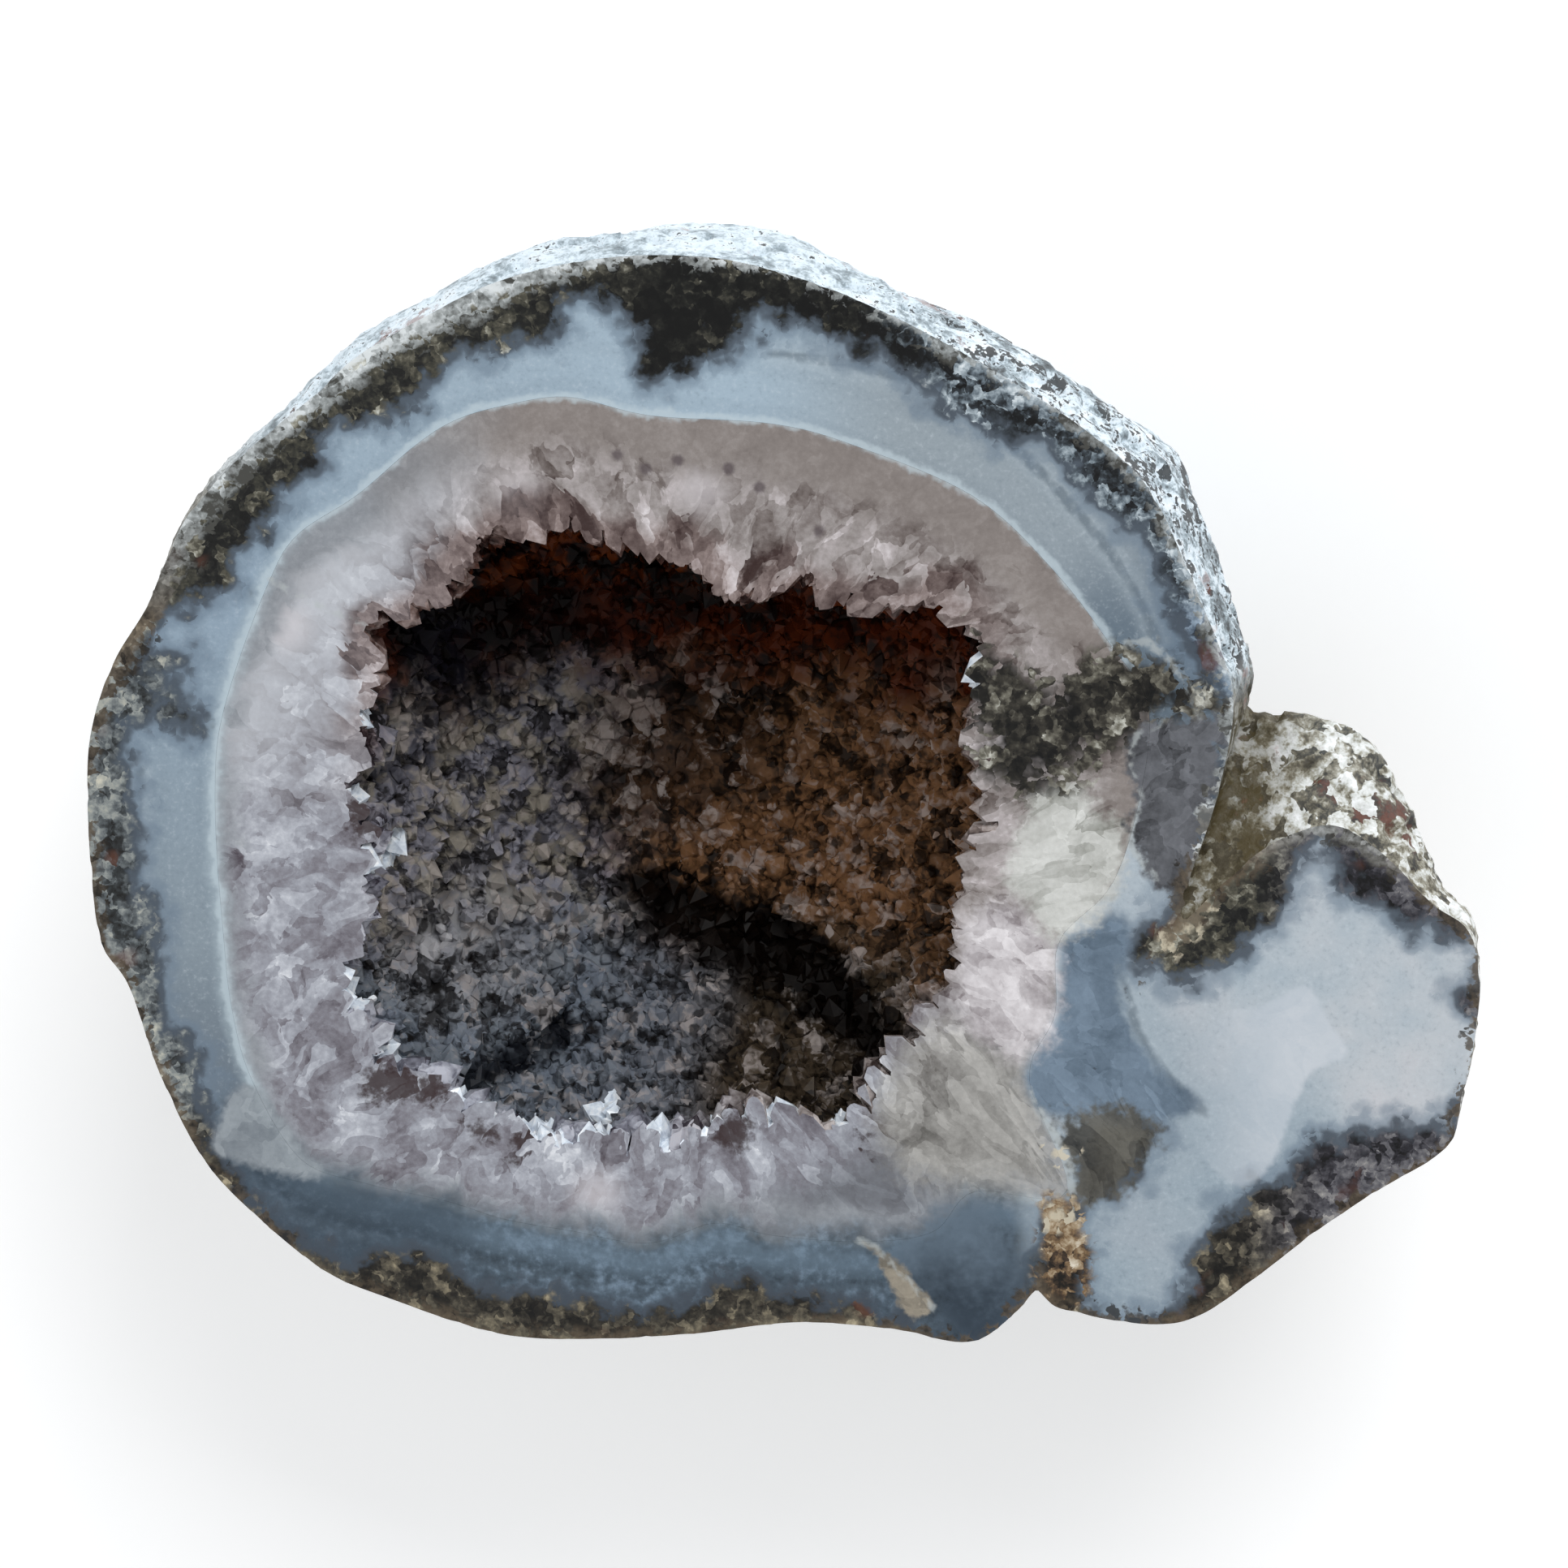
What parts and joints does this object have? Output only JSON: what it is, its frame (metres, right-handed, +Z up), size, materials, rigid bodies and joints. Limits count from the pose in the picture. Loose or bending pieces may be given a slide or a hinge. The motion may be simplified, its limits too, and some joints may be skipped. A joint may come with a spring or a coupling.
{
  "type": "geode half",
  "caption": "Sawn and polished half of a small geode: agate walls around a crystal-lined hollow, with a small solid lobe grown at its side.",
  "frame": {"origin": "centre of the overall box at the bottom, on the surface that the stone rests on", "axes": "+Z up, out of the sawn face; +X towards the small lobe; +Y towards the top of the sawn face as the picture shows it"},
  "size_m": [0.081, 0.0652, 0.03],
  "materials": {
    "agate_stone": "polished on the sawn face, rough and weathered on the rind",
    "quartz_crystal": "glossy, polished on the sawn face, flat crystal faces in the hollow"
  },
  "bodies": {
    "root": {"geode_body": "agate_stone", "crystal_crust": "quartz_crystal"}
  },
  "joints": []
}
